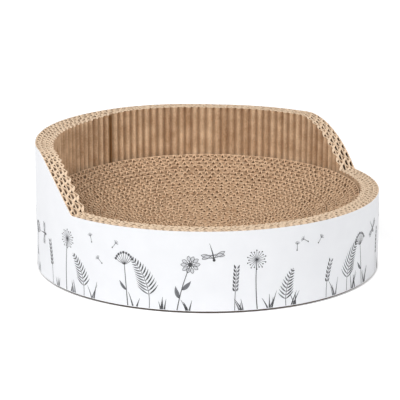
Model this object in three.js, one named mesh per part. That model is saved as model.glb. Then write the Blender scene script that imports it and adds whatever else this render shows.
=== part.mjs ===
// Round cardboard cat scratcher bed: a wall of single-face corrugated board in a paper wrap, low at the
// front and high at the back, standing on a base board, with a loose wound scratch pad inside it whose
// top is hollowed like a bowl.
// Millimetres, +Z up. The origin is the middle of the base board's underside and the front faces -Y.
import * as THREE from "three";

// Overall sizes
const OUTER_RADIUS = 205; // axis to the outside of the wrap
const LOW_RIM_HEIGHT = 94; // floor to the rim at the front
const HIGH_RIM_HEIGHT = 150.5; // floor to the rim at the back
const LOW_RIM_DIP = 1.5; // by which the low rim sinks from the middle of the front to the foot of a cut
const CUT_START_DEG = 82.4; // middle of the front round to the foot of each slanting cut
const CUT_END_DEG = 107; // middle of the front round to where each cut meets the high rim
const CUT_EASE = 1.67; // over 1, the cut leaves the low rim steeply and eases into the high one

// Base board
const BASE_THICKNESS = 2.2;
const BASE_SETBACK = 2; // from the outside of the wall's outermost liner in to the board's edge

// Paper wrap, glued to itself at the back
const WRAP_THICKNESS = 0.6;
const WRAP_LAP = 24; // overlap of its two ends
const WRAP_LAP_RAMP = 8; // length in which the outer end climbs over the inner one

// Single-face board of the wall: each layer is a smooth liner with a fluted ply on its inner side
const WALL_LAYERS = 4;
const LINER_THICKNESS = 0.5;
const FLUTE_HEIGHT = 4.4; // from crest to crest, paper included
const FLUTE_PITCH = 9.25;
const FLUTE_PAPER = 0.5; // thickness of the fluted paper, measured towards the axis
const GLUE_GAP = 0.3; // glue line between plies, and between a piece and its seat
const JOINT_GAP = 1; // between the butted ends of one ply
const JOINT_STAGGER_DEG = 14; // from the joint of one layer to the joint of the next
const INNER_JOINT_DEG = 10; // joint of the innermost layer, past the middle of the back

// Scratch pad: strips of board wound on edge round a short wound core, its top a hollow to lie in
const PAD_HEIGHT = 87.5; // at the outer turn
const PAD_HOLLOW_DEPTH = 55.5; // from the outer turn's top down to the middle of the hollow
const PAD_CLEARANCE = 1.3; // all round, to the wall's inner flutes
const PAD_BOARD = 5; // thickness of the wound strips
const PAD_STRIPS = 3; // of like length, butted end to end
const PAD_TURN_GAP = 0.5; // least gap between one turn and the next, towards the axis
const PAD_CORE_RADIUS = 43.5; // of the core, once its outermost turn has closed
const PAD_EYE_RADIUS = 5; // left open in the middle of the core
const PAD_ROUND_TURNS = 8; // outer turns that are pressed round, from the outer end
const PAD_END_DEG = 282; // where the winding's outer end lies, anticlockwise from +X

// Facets
const RING_STEPS = 90;
const TURN_STEPS = 24;

// Colours and finishes
const KRAFT_ROUGHNESS = 0.88;
const WRAP_ROUGHNESS = 0.55;
const KRAFT_LINER = 0xc9a47e;
const KRAFT_FLUTE = 0xb89069;
const KRAFT_PAD = 0xb6906c;
const KRAFT_CORE = 0xa8845f;
const BASE_BROWN = 0x6f5946;
const WRAP_WHITE = 0xf2f3f6;

const FULL_TURN = 2 * Math.PI;
const FRONT = -Math.PI / 2;
const BACK = Math.PI / 2;
const rad = THREE.MathUtils.degToRad;

// Radii worked out from the outside in
const wrapInner = OUTER_RADIUS - WRAP_THICKNESS;
const layerPitch = LINER_THICKNESS + GLUE_GAP + FLUTE_HEIGHT + GLUE_GAP;
const wallOuter = wrapInner - GLUE_GAP;
const baseRadius = wallOuter - BASE_SETBACK;
const wallInner = wallOuter - WALL_LAYERS * layerPitch + GLUE_GAP;
const padRadius = wallInner - PAD_CLEARANCE;
const padTurns = Math.floor((padRadius - PAD_CORE_RADIUS) / (PAD_BOARD + PAD_TURN_GAP)) - 1;
const padPitch = (padRadius - PAD_CORE_RADIUS) / (padTurns + 1);
const coreTurns = Math.floor((PAD_CORE_RADIUS - PAD_BOARD - PAD_EYE_RADIUS) / padPitch) + 1;
const seatHeight = BASE_THICKNESS + GLUE_GAP;

// Height of the rim at an angle round the axis
function rimHeight(angle) {
  const fromFront = Math.abs(Math.atan2(Math.sin(angle - FRONT), Math.cos(angle - FRONT)));
  const along = (fromFront - rad(CUT_START_DEG)) / rad(CUT_END_DEG - CUT_START_DEG);
  const share = THREE.MathUtils.clamp(along, 0, 1);
  const rise = 1 - (1 - share) ** CUT_EASE;
  const low = LOW_RIM_HEIGHT - LOW_RIM_DIP * Math.min(1, fromFront / rad(CUT_START_DEG)) ** 2;
  return low + (HIGH_RIM_HEIGHT - low) * rise;
}

// An upright strip of paper or board, given column by column anticlockwise along its length
function stripGeometry(columns) {
  const positions = [];
  for (const { angle, outer, inner, bottom, top, innerTop } of columns) {
    for (const [radius, z] of [[outer, bottom], [outer, top], [inner, innerTop], [inner, bottom]]) {
      positions.push(radius * Math.cos(angle), radius * Math.sin(angle), z);
    }
  }
  const indices = [];
  const addQuad = (a, b, c, d) => indices.push(a, b, c, a, c, d);
  const last = 4 * (columns.length - 1);
  addQuad(0, 1, 2, 3);
  for (let here = 0; here < last; here += 4) {
    const next = here + 4;
    for (let corner = 0; corner < 4; corner += 1) {
      const other = (corner + 1) % 4;
      addQuad(here + corner, next + corner, next + other, here + other);
    }
  }
  addQuad(last + 3, last + 2, last + 1, last);
  const geometry = new THREE.BufferGeometry();
  geometry.setAttribute("position", new THREE.Float32BufferAttribute(positions, 3));
  geometry.setIndex(indices);
  geometry.computeVertexNormals();
  return geometry;
}

// Column of a wall ply, from the seat on the base board up to the rim
function wallColumn(angle, outer, thickness) {
  const top = rimHeight(angle);
  return { angle, outer, inner: outer - thickness, bottom: seatHeight, top, innerTop: top };
}

// Angles from start to end in even steps, with the four ends of the slanting cuts among them
function ringAngles(start, end) {
  const angles = [];
  const steps = Math.round((RING_STEPS * (end - start)) / FULL_TURN);
  for (let i = 0; i <= steps; i += 1) {
    angles.push(start + ((end - start) * i) / steps);
  }
  for (const cut of [CUT_START_DEG, CUT_END_DEG, -CUT_START_DEG, -CUT_END_DEG]) {
    const past = THREE.MathUtils.euclideanModulo(FRONT + rad(cut) - start, FULL_TURN);
    angles.push(start + past);
  }
  return angles.sort((a, b) => a - b);
}

// Smooth liner: an open ring with its ends butted at the joint
function linerColumns(outer, joint) {
  const halfGap = JOINT_GAP / 2 / outer;
  const angles = ringAngles(joint + halfGap, joint + FULL_TURN - halfGap);
  return angles.map((angle) => wallColumn(angle, outer, LINER_THICKNESS));
}

// Fluted ply: crests by turns against its own liner and towards the axis
function fluteColumns(outer, joint) {
  const valley = outer - FLUTE_HEIGHT + FLUTE_PAPER;
  const middle = (outer + valley) / 2;
  const flutes = Math.round((FULL_TURN * middle) / FLUTE_PITCH);
  const halfGap = JOINT_GAP / 2 / middle;
  const columns = [];
  for (let i = 0; i <= 2 * flutes; i += 1) {
    const angle = joint + halfGap + ((FULL_TURN - 2 * halfGap) * i) / (2 * flutes);
    columns.push(wallColumn(angle, i % 2 === 0 ? outer : valley, FLUTE_PAPER));
  }
  return columns;
}

// Wrap: once round the wall and then over its own start at the back
function wrapColumns() {
  const lap = WRAP_LAP / OUTER_RADIUS;
  const ramp = WRAP_LAP_RAMP / OUTER_RADIUS;
  const margin = JOINT_GAP / OUTER_RADIUS;
  const start = BACK - lap / 2;
  const raised = OUTER_RADIUS + WRAP_THICKNESS + GLUE_GAP;
  const climbEnd = start + FULL_TURN - margin;
  const lapEnd = start + FULL_TURN + lap;
  const round = ringAngles(start, climbEnd - ramp);
  const columns = round.map((angle) => wallColumn(angle, OUTER_RADIUS, WRAP_THICKNESS));
  for (const angle of [climbEnd, (climbEnd + lapEnd) / 2, lapEnd]) {
    columns.push(wallColumn(angle, raised, WRAP_THICKNESS));
  }
  return columns;
}

// Pitches wound in towards the core after some turns from the outer end. A round turn holds its
// radius and steps in at its end; the step grows longer turn by turn until the spiral is even.
function pitchesIn(turns) {
  const whole = Math.floor(turns);
  const stepShare = Math.min(1, (whole + 1) / PAD_ROUND_TURNS);
  const along = (turns - whole - 1 + stepShare) / stepShare;
  return whole + Math.max(0, along);
}

// Height of the pad's top at a radius: a round hollow, deepest on the axis
function padTop(radius) {
  return seatHeight + PAD_HEIGHT - PAD_HOLLOW_DEPTH * (1 - (radius / padRadius) ** 2);
}

// Winding of the scratch pad from its outer end in to the eye, its top cut along the hollow
function windingColumns() {
  const columns = [];
  for (let i = 0; i <= (padTurns + coreTurns) * TURN_STEPS; i += 1) {
    const turns = i / TURN_STEPS;
    const outer = padRadius - padPitch * pitchesIn(turns);
    const inner = outer - PAD_BOARD;
    columns.push({
      angle: rad(PAD_END_DEG) + FULL_TURN * turns,
      outer,
      inner,
      bottom: seatHeight,
      top: padTop(outer),
      innerTop: padTop(inner),
    });
  }
  return columns;
}

// Point on the floor under one face of a column
function facePoint(column, face) {
  return new THREE.Vector3(column[face], 0, 0).applyAxisAngle(new THREE.Vector3(0, 0, 1), column.angle);
}

// Column a distance before the end of the straight facet between two others
function columnBefore(start, end, distance) {
  const outer = facePoint(end, "outer");
  const share = distance / outer.distanceTo(facePoint(start, "outer"));
  outer.lerp(facePoint(start, "outer"), share);
  const inner = facePoint(end, "inner").lerp(facePoint(start, "inner"), share);
  return {
    angle: Math.atan2(outer.y, outer.x),
    outer: outer.length(),
    inner: inner.length(),
    bottom: end.bottom,
    top: THREE.MathUtils.lerp(end.top, start.top, share),
    innerTop: THREE.MathUtils.lerp(end.innerTop, start.innerTop, share),
  };
}

// The winding's columns shared out over its strips and then its core, with a joint gap where one ends
// and the next begins
function padStrips(columns) {
  const coreStart = padTurns * TURN_STEPS;
  const facets = columns.map((column, i) => {
    const before = columns[Math.max(0, i - 1)];
    return facePoint(before, "outer").distanceTo(facePoint(column, "outer"));
  });
  const length = facets.slice(0, coreStart + 1).reduce((sum, facet) => sum + facet, 0);
  const strips = [[]];
  let wound = 0;
  columns.forEach((column, i) => {
    wound += facets[i];
    const stripDone = strips.length < PAD_STRIPS && wound >= (strips.length * length) / PAD_STRIPS;
    if (stripDone || i === coreStart) {
      strips.at(-1).push(columnBefore(columns[i - 1], column, JOINT_GAP));
      strips.push([]);
    }
    strips.at(-1).push(column);
  });
  return strips;
}

// Least gap between the inner face of each turn and the outer face of the turn inside it
function leastTurnGap(columns) {
  const innerFace = columns.map((column) => facePoint(column, "inner"));
  const outerFace = columns.map((column) => facePoint(column, "outer"));
  const nearest = new THREE.Vector3();
  let least = Infinity;
  for (let i = 1; i + TURN_STEPS + 1 < columns.length; i += 1) {
    for (const j of [i + TURN_STEPS - 1, i + TURN_STEPS]) {
      const outerEdge = new THREE.Line3(outerFace[j], outerFace[j + 1]);
      const innerEdge = new THREE.Line3(innerFace[j - TURN_STEPS], innerFace[j - TURN_STEPS + 1]);
      const inwards = outerEdge.closestPointToPoint(innerFace[i], true, nearest).distanceTo(innerFace[i]);
      const across = outerFace[i + TURN_STEPS];
      const outwards = innerEdge.closestPointToPoint(across, true, nearest).distanceTo(across);
      least = Math.min(least, inwards, outwards);
    }
  }
  return least;
}

// Round board lying on the floor
function baseGeometry() {
  const geometry = new THREE.CylinderGeometry(baseRadius, baseRadius, BASE_THICKNESS, RING_STEPS);
  geometry.rotateX(Math.PI / 2);
  geometry.translate(0, 0, BASE_THICKNESS / 2);
  return geometry;
}

function addPiece(group, name, geometry, color, roughness) {
  const material = new THREE.MeshStandardMaterial({ color, roughness, metalness: 0 });
  const mesh = new THREE.Mesh(geometry, material);
  mesh.name = name;
  group.add(mesh);
}

// Base board and printed wrap
function addShell(group) {
  addPiece(group, "base_board", baseGeometry(), BASE_BROWN, KRAFT_ROUGHNESS);
  addPiece(group, "outer_wrap", stripGeometry(wrapColumns()), WRAP_WHITE, WRAP_ROUGHNESS);
}

// Layers of the wall, numbered from the outside in
function addWall(group) {
  for (let layer = 1; layer <= WALL_LAYERS; layer += 1) {
    const linerOuter = wallOuter - (layer - 1) * layerPitch;
    const fluteOuter = linerOuter - LINER_THICKNESS - GLUE_GAP;
    const joint = BACK + rad(INNER_JOINT_DEG + (WALL_LAYERS - layer) * JOINT_STAGGER_DEG);
    const liner = stripGeometry(linerColumns(linerOuter, joint));
    const flutes = stripGeometry(fluteColumns(fluteOuter, joint));
    addPiece(group, `wall_liner_${layer}`, liner, KRAFT_LINER, KRAFT_ROUGHNESS);
    addPiece(group, `wall_flutes_${layer}`, flutes, KRAFT_FLUTE, KRAFT_ROUGHNESS);
  }
}

// Loose pad, dropped inside the wall onto the base board, its strips numbered from the outside in
function addPad(group) {
  const columns = windingColumns();
  const gap = leastTurnGap(columns);
  console.log(`pad strips: ${padTurns} turns and ${coreTurns} in the core, least gap ${gap.toFixed(2)} mm`);
  const strips = padStrips(columns);
  const core = strips.pop();
  strips.forEach((strip, i) => {
    addPiece(group, `pad_strip_${i + 1}`, stripGeometry(strip), KRAFT_PAD, KRAFT_ROUGHNESS);
  });
  addPiece(group, "pad_core", stripGeometry(core), KRAFT_CORE, KRAFT_ROUGHNESS);
}

const shell = new THREE.Group();
addShell(shell);
const wall = new THREE.Group();
addWall(wall);
const pad = new THREE.Group();
addPad(pad);

const bed = new THREE.Group();
bed.name = "cat_scratcher_bed";
bed.add(shell, wall, pad);

export default bed;
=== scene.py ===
"""Looks of a round cardboard cat scratcher bed: corrugated wall, printed paper wrap and wound scratch pad.

Laid out as an add-on and run as a script. Lengths are in metres, and in millimetres where the print is
drawn."""
import math
import random
from functools import partial

import bmesh
import bpy
from mathutils import Matrix, Vector


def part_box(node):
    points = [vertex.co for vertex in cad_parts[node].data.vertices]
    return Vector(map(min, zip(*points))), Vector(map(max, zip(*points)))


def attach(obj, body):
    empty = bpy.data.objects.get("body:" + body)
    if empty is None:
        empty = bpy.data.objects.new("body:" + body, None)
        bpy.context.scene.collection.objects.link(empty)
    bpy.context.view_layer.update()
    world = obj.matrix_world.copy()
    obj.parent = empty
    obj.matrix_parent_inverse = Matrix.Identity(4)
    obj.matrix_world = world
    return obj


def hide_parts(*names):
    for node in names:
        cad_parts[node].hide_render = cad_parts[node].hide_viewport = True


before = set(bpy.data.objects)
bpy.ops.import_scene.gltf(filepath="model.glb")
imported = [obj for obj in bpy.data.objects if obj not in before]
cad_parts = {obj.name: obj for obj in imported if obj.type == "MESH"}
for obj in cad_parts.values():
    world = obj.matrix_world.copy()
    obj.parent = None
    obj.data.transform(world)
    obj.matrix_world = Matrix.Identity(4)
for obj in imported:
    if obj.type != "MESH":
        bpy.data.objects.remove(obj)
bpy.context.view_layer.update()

bl_info = {
    "name": "Cardboard cat scratcher bed",
    "version": (1, 0, 0),
    "blender": (4, 5, 0),
    "location": "View3D > Sidebar > Scratcher bed",
    "description": "Builds the paper plies, print and finish of a round corrugated cat scratcher bed",
    "category": "Object",
}

MM = 0.001
FULL_TURN = 2 * math.pi
FRONT_SHARE = 0.95  # of the way to the frontmost point, past which a point counts as the front


def linear(hex_colour):
    """Linear RGBA of an sRGB hex colour."""
    channels = [int(hex_colour[i:i + 2], 16) / 255 for i in (0, 2, 4)]
    curved = [c / 12.92 if c <= 0.04045 else ((c + 0.055) / 1.055) ** 2.4 for c in channels]
    return (*curved, 1.0)


def reach(node):
    """Least and greatest radius of a CAD node round the bed's axis."""
    radii = [math.hypot(v.co.x, v.co.y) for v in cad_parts[node].data.vertices]
    return min(radii), max(radii)


def front_height(node):
    """Height of a CAD node's top at the middle of the front."""
    points = [v.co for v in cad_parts[node].data.vertices]
    front = min(p.y for p in points)
    return max(p.z for p in points if p.y < FRONT_SHARE * front)


def lowest_top(node):
    """Height of the lowest point on a CAD node's top edge, which lies far above the seat."""
    return min(v.co.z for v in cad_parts[node].data.vertices if v.co.z > 2 * SEAT)


# Places that the frame fixes
WALL_LAYERS = sum(1 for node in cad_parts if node.startswith("wall_liner"))
BASE_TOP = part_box("base_board")[1].z
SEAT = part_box("outer_wrap")[0].z
HIGH_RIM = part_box("outer_wrap")[1].z
LOW_RIM = front_height("outer_wrap")
WRAP_INNER = reach("outer_wrap")[0]
WALL_INNER = reach(f"wall_flutes_{WALL_LAYERS}")[0]
PAD_RADIUS = reach("pad_strip_1")[1]
PAD_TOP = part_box("pad_strip_1")[1].z
PAD_MIDDLE = lowest_top("pad_core")
PAD_TURNS = 24
PAD_PITCH = (PAD_RADIUS - reach("pad_core")[1]) / PAD_TURNS


# Sizes and colours that a user would change

def length_prop(name, description, default):
    """A property that holds a length in metres."""
    return bpy.props.FloatProperty(name=name, description=description, default=default, unit="LENGTH")


def angle_prop(name, description, degrees):
    """A property that holds an angle."""
    return bpy.props.FloatProperty(
        name=name, description=description, default=math.radians(degrees), subtype="ANGLE")


def share_prop(name, description, default):
    """A property that holds a share or a plain number."""
    return bpy.props.FloatProperty(name=name, description=description, default=default)


def colour_prop(name, description, hex_colour):
    """A property that holds a colour."""
    return bpy.props.FloatVectorProperty(
        name=name, description=description, default=linear(hex_colour), size=4, subtype="COLOR")


class BedSizes(bpy.types.PropertyGroup):
    """Sizes of the bed's plies."""
    low_rim: length_prop("Low rim", "Floor to the rim at the front", LOW_RIM)
    high_rim: length_prop("High rim", "Floor to the rim at the back", HIGH_RIM)
    low_dip: length_prop(
        "Low rim dip", "By which the low rim sinks from the front to the foot of a cut",
        LOW_RIM - lowest_top("outer_wrap"))
    rim_rise: length_prop("Rim rise", "By which the rim stands up on one stretch of the back", 2.2 * MM)
    rim_fall: length_prop(
        "Rim fall", "By which the rim is lower inside than outside on one stretch of the back", 4.4 * MM)
    cut_start: angle_prop("Cut start", "Middle of the front round to the foot of the slanting cut", 82.4)
    cut_end: angle_prop("Cut end", "Middle of the front round to the top of the slanting cut", 107)
    cut_ease: share_prop("Cut ease", "Over 1, the cut rises steeply and eases into the high rim", 1.67)
    wrap_paper: length_prop("Wrap paper", "Thickness of the printed wrap", 0.6 * MM)
    wrap_lap: length_prop("Wrap lap", "Overlap of the wrap's ends at the back", 24 * MM)
    flute_pitch: length_prop("Flute pitch", "From one flute to the next", 9.25 * MM)
    flute_steps: bpy.props.IntProperty(name="Flute steps", description="Points along one flute", default=12)
    paper: length_prop("Board paper", "Thickness of liner and flute paper", 0.6 * MM)
    burr_depth: length_prop(
        "Burr depth", "Depth below a cut edge in which the paper is spread by the saw", 2.2 * MM)
    edge_burr: share_prop("Edge burr", "Share by which a cut edge is thicker than its paper", 1.3)
    flank_burr: share_prop("Flank burr", "Share by which a cut edge is thicker still across a flute", 3.0)
    inner_joint: angle_prop(
        "Inner joint", "Joint of the wall's innermost layer, anticlockwise from +X", 97.7)
    joint_stagger: angle_prop("Joint stagger", "From the joint of one layer to the joint of the next", 14)
    joint_gap: length_prop("Joint gap", "Between the butted ends of one ply or strip", 1 * MM)
    inner_seam: length_prop("Inner seam", "Opening at the joint of the wall's innermost flutes", 5 * MM)
    pad_hollow: length_prop(
        "Pad hollow", "From the pad's outer turn down to the middle of its hollow", PAD_TOP - PAD_MIDDLE)
    pad_pitch: length_prop("Pad pitch", "From one turn of the pad to the next", PAD_PITCH)
    pad_end: angle_prop("Pad end", "Where the pad's outer end lies, anticlockwise from +X", 282)
    pad_eye: length_prop("Pad eye", "Radius left open in the middle of the pad", 7 * MM)
    strip_joints: bpy.props.FloatVectorProperty(
        name="Strip joints", description="Turns from the pad's outer end to the end of each strip", size=3,
        default=(5.5417, 12.5417, PAD_TURNS))


class BedColours(bpy.types.PropertyGroup):
    """Colours of the bed's papers and inks."""
    wrap_white: colour_prop("Wrap white", "Coated white paper", "F3F4F7")
    wrap_cloud: colour_prop("Wrap cloud", "Faint mottle in the coated paper", "E9EAEE")
    kraft: colour_prop("Kraft", "Face of the kraft paper", "DBBA99")
    kraft_inside: colour_prop("Kraft inside", "Face of the ribbed inside of the wall", "F5D7B4")
    kraft_cells: colour_prop("Kraft at the cuts", "Paper inside the wall, seen in its open cells", "F2D9BC")
    kraft_dark: colour_prop("Kraft fibres", "Darker fibres and cloud in the kraft paper", "BA9471")
    # Kraft shade: painted shade in the open flutes' valleys and deep in the pad's cells
    kraft_shade: colour_prop("Kraft shade", "Paper in the flutes' valleys and deep in the pad", "856449")
    # Deep cells: painted shade deep in the wall's closed cells
    deep_cell_shade: colour_prop("Deep cells", "Paper deep in the wall's closed cells", "604731")
    # Open seam: painted shade deep behind the innermost flutes' seam, browner than in the other cells
    seam_deep_shade: colour_prop("Open seam", "Liner deep behind the seam of the innermost flutes", "8A602F")
    # Cut edges: paler for their broken fibres and partly painted light on their upward faces; the rim's
    # edge is paler than the pad's
    rim_edge_and_light: colour_prop("Rim edge", "Freshly cut edge of the wall's papers", "E7CEB2")
    pad_edge_and_light: colour_prop("Pad edge", "Cut edge of the pad's papers", "DAB997")
    # Base board: its brown is darker in part as painted shade along the foot of the wrap
    base_brown_and_shade: colour_prop("Base board", "Brown solid board", "6F5946")
    base_fleck: colour_prop("Base fleck", "Darker flecks in the solid board", "56432F")
    ink_dark: colour_prop("Dark ink", "Charcoal lines of the print", "1C1C20")
    ink_mid: colour_prop("Middle ink", "Middle grey leaves of the print", "626368")
    ink_pale: colour_prop("Pale ink", "Light grey petals of the print", "D2D3D7")
    ink_speck: colour_prop("Ink speck", "Paper that shows through the ink", "E4E5E8")


# Nodes

MATH = "ShaderNodeMath"
VECTOR_MATH = "ShaderNodeVectorMath"
MAP_RANGE = "ShaderNodeMapRange"


def fill(node, inputs):
    """Fills a node's live inputs, in order or by name.

    Each gets a plain value, a socket to link, or a node whose first live output is linked."""
    live = [socket for socket in node.inputs if socket.enabled]
    if isinstance(inputs, dict):
        named = {socket.name: socket for socket in live}
        pairs = [(named[name], value) for name, value in inputs.items()]
    else:
        pairs = zip(live, inputs)
    for socket, value in pairs:
        if isinstance(value, bpy.types.Node):
            value = next(output for output in value.outputs if output.enabled)
        if isinstance(value, bpy.types.NodeSocket):
            node.id_data.links.new(value, socket)
        else:
            socket.default_value = value


def add_node(tree, kind, inputs=(), operation=None, **settings):
    """Adds a node, sets its operation and other options, and fills its inputs."""
    node = tree.nodes.new(kind)
    if operation:
        node.operation = operation
    for option, value in settings.items():
        setattr(node, option, value)
    fill(node, inputs)
    return node


# Node trees of the plies and the print

SECTION_HEIGHT = 20 * MM  # of a ply's swept section, before its points are set to their real heights
FLANK_GAIN = 2.6  # brings the steepest part of a flute to a share of 1
SWAY_RATE = 0.23  # swings of the pitch in the length of one flute
SWELL_RATE = 0.31  # swings of a cut edge's height in the length of one flute
CRUSH_RARITY = 3.0  # the higher, the fewer flutes are crushed
TEAR_RARITY = 24.0  # the higher, the fewer half flutes are torn down
SHARP_FOLD = math.radians(55)  # between two faces, past which the edge between them is crisp

# Bearing of a stretch of the back's rim, and how far to each side it holds in full and reaches at all
RISE = (math.radians(103), math.radians(8), math.radians(52))
FALL = (math.radians(138), math.radians(20), math.radians(48))

PLY_NUMBERS = (
    "Step", "Paper", "Bottom", "Flute pitch", "Flute wave", "Flute pinch", "Crush", "Sway", "Low rim",
    "Low dip", "High rim", "Cut start", "Cut end", "Cut ease", "Rim rise", "Rim slope", "Hollow",
    "Hollow radius", "Burr depth", "Edge burr", "Flank burr", "Uneven", "Ragged", "Torn", "Seed")


def new_tree(name, sockets):
    """A geometry tree with named inputs; returns it, what adds a node to it, and its inputs by name."""
    tree = bpy.data.node_groups.new(name, "GeometryNodeTree")
    for label, kind in sockets.items():
        tree.interface.new_socket(name=label, in_out="INPUT", socket_type=f"NodeSocket{kind}")
    tree.interface.new_socket(name="Geometry", in_out="OUTPUT", socket_type="NodeSocketGeometry")
    add = partial(add_node, tree)
    return tree, add, add("NodeGroupInput").outputs


def end_tree(add, geometry, material):
    """Closes a tree with plain geometry in one material."""
    real = add("GeometryNodeRealizeInstances", (geometry,))
    coated = add("GeometryNodeSetMaterial", {"Geometry": real, "Material": material})
    add("NodeGroupOutput", (coated,))


def flute_count(add, given):
    """Flutes from the start of the path to a point of it, at a pitch that wanders."""
    along = add("GeometryNodeSplineParameter").outputs["Length"]
    even = add(MATH, (along, given["Flute pitch"]), "DIVIDE")
    slow = add(MATH, (even, SWAY_RATE, given["Seed"]), "MULTIPLY_ADD")
    drift = add("ShaderNodeTexNoise", {"W": slow, "Scale": 1.0, "Detail": 1.0}, noise_dimensions="1D")
    centred = add(MATH, (drift, 0.5), "SUBTRACT")
    return add(MATH, (centred, given["Sway"], even), "MULTIPLY_ADD")


def flute_shape(add, given, flute):
    """Offset of fluted paper across its path, and a share that tells its flanks from its crests.

    A pinch over 1 narrows the paper where it is glued to its liner, and one under 1 on the other side."""
    number = add(MATH, (flute,), "FLOOR")
    drawn = add(MATH, (number, given["Seed"]), "ADD")
    chance = add("ShaderNodeTexWhiteNoise", {"W": drawn}, noise_dimensions="1D")
    rare = add(MATH, (chance, CRUSH_RARITY), "POWER")
    lost = add(MATH, (rare, given["Crush"]), "MULTIPLY")
    full = add(MATH, (1.0, lost), "SUBTRACT")
    phase = add(MATH, (flute, FULL_TURN), "MULTIPLY")
    cosine = add(MATH, (phase,), "COSINE")
    lifted = add(MATH, (cosine, 0.5, 0.5), "MULTIPLY_ADD")
    pinched = add(MATH, (lifted, given["Flute pinch"]), "POWER")
    hang = add(MATH, (1.0, pinched), "SUBTRACT")
    kept = add(MATH, (hang, full), "MULTIPLY")
    share = add(MATH, (kept, -2.0, 1.0), "MULTIPLY_ADD")
    height = add(MATH, (share, given["Flute wave"]), "MULTIPLY")
    tangent = add("GeometryNodeInputTangent")
    outward = add(VECTOR_MATH, (tangent, (0, 0, 1)), "CROSS_PRODUCT")
    offset = add(VECTOR_MATH, (outward, height), "SCALE")
    sine = add(MATH, (phase,), "SINE")
    steep = add(MATH, (sine,), "ABSOLUTE")
    slope = add(MATH, (steep, pinched), "MULTIPLY")
    flank = add(MATH, (slope, FLANK_GAIN), "MULTIPLY", use_clamp=True)
    return offset, flank


def stretch(add, flat, radius, place, height):
    """A height that holds on one stretch of the wall, round a bearing from +X, and dies away."""
    bearing, full, end = place
    middle = (math.cos(bearing), math.sin(bearing), 0)
    along = add(VECTOR_MATH, (flat, middle), "DOT_PRODUCT")
    nearness = add(MATH, (along, radius), "DIVIDE")
    return add(
        MAP_RANGE,
        {"Value": nearness, "From Min": math.cos(end), "From Max": math.cos(full), "To Max": height},
        interpolation_type="SMOOTHSTEP")


def rim_level(add, given, axes, flat, radius):
    """Height of the rim over a point: low front, dipping to the sides, slanting cuts and high back.

    The back was sawn by hand: on one stretch it stands up, and on the next it falls towards the inside."""
    back = add(MATH, (axes["Y"], -1.0), "MULTIPLY")
    bearing = add(MATH, (axes["X"], back), "ARCTAN2")
    angle = add(MATH, (bearing,), "ABSOLUTE")
    climb = add(MAP_RANGE, {"Value": angle, "From Min": given["Cut start"], "From Max": given["Cut end"]})
    rest = add(MATH, (1.0, climb), "SUBTRACT")
    eased = add(MATH, (rest, given["Cut ease"]), "POWER")
    aside = add(MAP_RANGE, {"Value": angle, "From Max": given["Cut start"]})
    bowed = add(MATH, (aside, 2.0), "POWER")
    dip = add(MATH, (bowed, given["Low dip"]), "MULTIPLY")
    low = add(MATH, (given["Low rim"], dip), "SUBTRACT")
    height = add(MATH, (given["High rim"], low), "SUBTRACT")
    lost = add(MATH, (eased, height), "MULTIPLY")
    level = add(MATH, (given["High rim"], lost), "SUBTRACT")
    rise = stretch(add, flat, radius, RISE, given["Rim rise"])
    slope = stretch(add, flat, radius, FALL, given["Rim slope"])
    risen = add(MATH, (level, rise), "ADD")
    outward = add(MATH, (radius, WRAP_INNER), "SUBTRACT")
    return add(MATH, (outward, slope, risen), "MULTIPLY_ADD")


def cut_level(add, given, place, axes):
    """Height of a ply's cut edge: the rim, less the pad's round hollow and the roughness of the cut."""
    flat = add("ShaderNodeCombineXYZ", {"X": axes["X"], "Y": axes["Y"]})
    radius = add(VECTOR_MATH, (flat,), "LENGTH")
    outward = add(MATH, (radius, given["Hollow radius"]), "DIVIDE")
    squared = add(MATH, (outward, 2.0), "POWER")
    inward = add(MATH, (1.0, squared), "SUBTRACT")
    sunk = add(MATH, (inward, given["Hollow"]), "MULTIPLY")
    rim = rim_level(add, given, axes, flat, radius)
    hollowed = add(MATH, (rim, sunk), "SUBTRACT")
    flute = add("GeometryNodeInputNamedAttribute", {"Name": "flute"}, data_type="FLOAT")
    slow = add(MATH, (flute, SWELL_RATE, given["Seed"]), "MULTIPLY_ADD")
    swell = add("ShaderNodeTexNoise", {"W": slow, "Scale": 1.0, "Detail": 2.0}, noise_dimensions="1D")
    levelled = add(MATH, (swell, given["Uneven"]), "MULTIPLY")
    fray = add("ShaderNodeTexWhiteNoise", {"Vector": place}, noise_dimensions="3D")
    rough = add(MATH, (fray, given["Ragged"], levelled), "MULTIPLY_ADD")
    halves = add(MATH, (flute, 2.0), "MULTIPLY")
    drawn = add(MATH, (halves,), "FLOOR")
    chance = add("ShaderNodeTexWhiteNoise", {"W": drawn}, noise_dimensions="1D")
    rare = add(MATH, (chance, TEAR_RARITY), "POWER")
    worn = add(MATH, (rare, given["Torn"], rough), "MULTIPLY_ADD")
    return add(MATH, (hollowed, worn), "SUBTRACT")


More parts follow.
